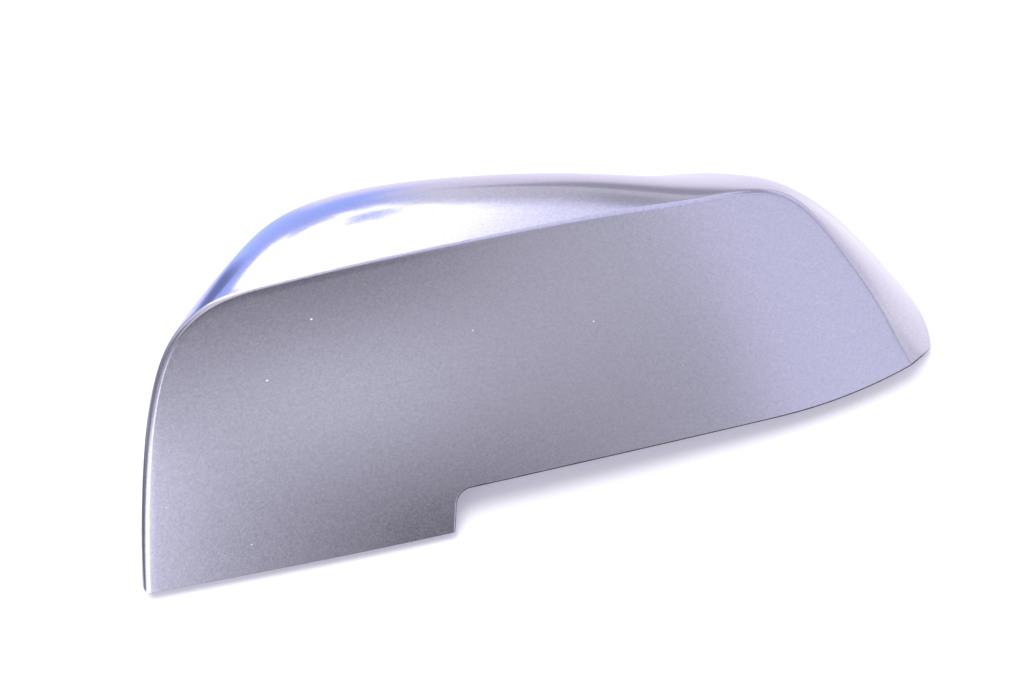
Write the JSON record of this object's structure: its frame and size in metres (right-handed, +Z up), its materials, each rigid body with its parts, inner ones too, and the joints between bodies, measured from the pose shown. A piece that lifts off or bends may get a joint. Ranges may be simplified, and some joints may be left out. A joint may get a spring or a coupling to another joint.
{
  "type": "wing mirror cover",
  "caption": "Painted wing mirror cover for a car: a curved, creased shell with a stepped lower edge, and hooks, pegs and ribs on its hidden inside.",
  "frame": {"origin": "centre of the bounding box in plan, on the plane of the rim that the cover lies on", "axes": "+X runs from the inner end by the car to the outer end, +Y runs back from the foot of the front face, +Z is up with the cover lying on its rim"},
  "size_m": [0.2438, 0.134, 0.0517],
  "materials": {
    "painted_shell": "glossy metallic silver paint outside, bare moulded plastic inside"
  },
  "bodies": {
    "root": {"mirror_cover": "painted_shell"}
  },
  "joints": []
}
